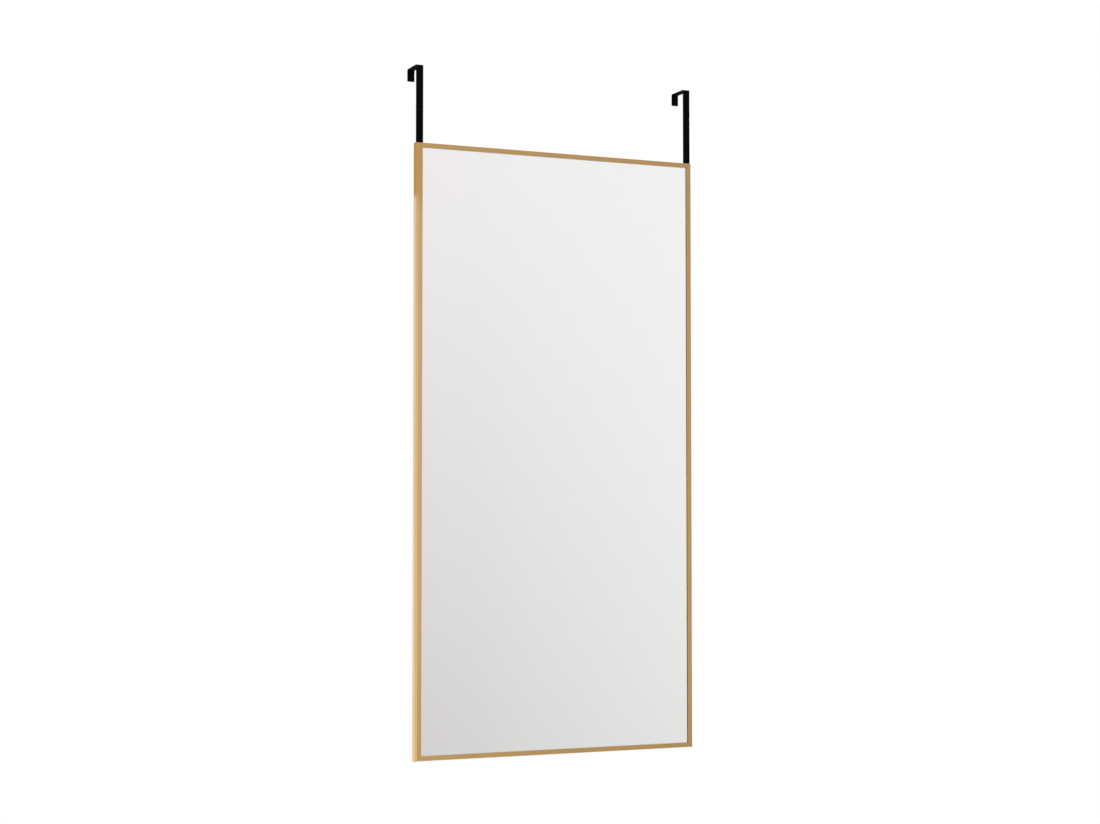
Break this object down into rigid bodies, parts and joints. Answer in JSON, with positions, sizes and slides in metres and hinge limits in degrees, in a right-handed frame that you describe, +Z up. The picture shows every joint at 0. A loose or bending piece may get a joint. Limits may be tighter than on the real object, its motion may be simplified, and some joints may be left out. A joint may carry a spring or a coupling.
{
  "type": "over the door mirror",
  "caption": "Upright rectangular mirror in a slim satin gold metal frame, hung over a door leaf on black bent strap hooks at its top corners.",
  "frame": {"origin": "on the front top edge of the door leaf that the hooks hang over, half way across the mirror: z = 0 is the top of the leaf, where the felt under the hooks rests, and y = 0 is the leaf's front face, which the bumpers touch", "axes": "+X to the right as seen by someone in front of the mirror, +Y from the mirror into the door, +Z up"},
  "size_m": [0.6, 0.0608, 1.3527],
  "materials": {
    "anodised_frame": "satin gold anodised",
    "zinc_key": "as cast",
    "screw_steel": "blackened steel",
    "mirror_glass": "polished float glass",
    "silver_coating": "silvered",
    "safety_film": "woven film",
    "backing_board": "smooth hardboard",
    "foam_tape": "closed cell foam",
    "rubber": "matte rubber",
    "black_strap": "satin black powder coat",
    "felt": "pressed felt"
  },
  "bodies": {
    "root": {"frame_top_bar": "anodised_frame", "frame_bottom_bar": "anodised_frame", "frame_left_bar": "anodised_frame", "frame_right_bar": "anodised_frame", "corner_key_top_left": "zinc_key", "corner_key_top_right": "zinc_key", "corner_key_bottom_left": "zinc_key", "corner_key_bottom_right": "zinc_key", "set_screws_top_left": "screw_steel", "set_screws_top_right": "screw_steel", "set_screws_bottom_left": "screw_steel", "set_screws_bottom_right": "screw_steel", "mirror_glass": "mirror_glass", "mirror_coating": "silver_coating", "safety_film": "safety_film", "backing_board": "backing_board", "foam_tape_top": "foam_tape", "foam_tape_bottom": "foam_tape", "foam_tape_left": "foam_tape", "foam_tape_right": "foam_tape", "setting_blocks": "rubber", "hook_left": "black_strap", "hook_right": "black_strap", "felt_pad_left": "felt", "felt_pad_right": "felt", "bumper_top_left": "rubber", "bumper_top_right": "rubber", "bumper_bottom_left": "rubber", "bumper_bottom_right": "rubber"}
  },
  "joints": []
}
